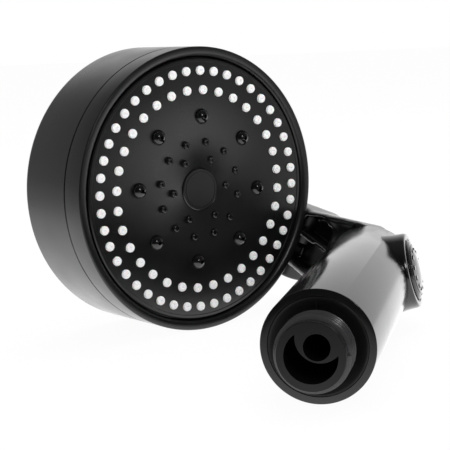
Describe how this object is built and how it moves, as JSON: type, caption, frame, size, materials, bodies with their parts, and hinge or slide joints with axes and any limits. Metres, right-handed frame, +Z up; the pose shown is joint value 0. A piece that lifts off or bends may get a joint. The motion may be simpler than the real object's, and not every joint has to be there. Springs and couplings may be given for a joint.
{
  "type": "handheld shower head",
  "caption": "Matt and gloss black handheld shower head with a round spray drum folded beside its grip, white rain nozzles, a pause button and a male hose thread.",
  "frame": {"origin": "on the handle's axis, where the hose thread starts behind its chamfered end", "axes": "+Y along the handle from the hose thread to the neck, +Z up as the object lies, head on the -X side"},
  "size_m": [0.1274, 0.1564, 0.094],
  "materials": {
    "gloss_black": "polished",
    "satin_black": "satin",
    "black_plastic": "moulded",
    "white_silicone": "matt",
    "seal_rubber": "matt",
    "stainless": "plain",
    "spring_steel": "drawn"
  },
  "bodies": {
    "handle": {"grip_shell": "gloss_black", "inlet_nipple": "black_plastic", "end_cap": "black_plastic", "water_tube": "black_plastic", "tube_guide": "black_plastic", "valve_block": "black_plastic", "outlet_seal": "seal_rubber", "button_bezel": "satin_black", "neck_bush": "black_plastic", "return_spring": "spring_steel"},
    "button": {"button_cap": "satin_black", "valve_stem": "black_plastic", "stem_seals": "seal_rubber"},
    "neck": {"neck_arm": "gloss_black", "neck_clip": "black_plastic", "pivot_spindle": "satin_black", "spindle_seals": "seal_rubber", "pivot_cap": "satin_black"},
    "knuckle": {"knuckle": "satin_black", "trunnion_seal": "seal_rubber", "trunnion_clip": "black_plastic"},
    "head": {"head_housing": "satin_black", "face_seal": "seal_rubber", "flow_divider": "black_plastic", "port_seals": "seal_rubber", "divider_seal": "seal_rubber", "divider_screws": "stainless", "detent_ball": "stainless", "detent_spring": "spring_steel", "hub_screw": "stainless"},
    "face": {"face_ring": "satin_black", "spray_plate": "satin_black", "nozzle_mat": "white_silicone", "massage_jets": "gloss_black", "centre_cap": "satin_black", "rotor": "black_plastic"}
  },
  "joints": [
    {"name": "neck_turn", "type": "hinge", "parent": "handle", "child": "neck", "pos_m": [0, 0.1143, 0], "axis": [0, 1, 0], "continuous": true},
    {"name": "head_fold", "type": "hinge", "parent": "neck", "child": "knuckle", "pos_m": [-0.02652, 0.1473, 0.01098], "axis": [-0.3827, 0, -0.9239], "range_deg": [0, 110]},
    {"name": "head_twist", "type": "hinge", "parent": "knuckle", "child": "head", "pos_m": [-0.02652, 0.1473, 0.01098], "axis": [-0.857, -0.3735, 0.355], "range_deg": [-45, 45]},
    {"name": "mode_turn", "type": "hinge", "parent": "head", "child": "face", "pos_m": [-0.0524, 0.0977, 0.03125], "axis": [0.7738, -0.6334, 0], "range_deg": [-25, 25]},
    {"name": "button_press", "type": "slide", "parent": "handle", "child": "button", "axis": [-0.9803, 0, -0.1977], "range_m": [0, 0.002], "stiffness_N_per_m": 2000, "springref_m": -0.001, "deforming": ["return_spring"]}
  ]
}
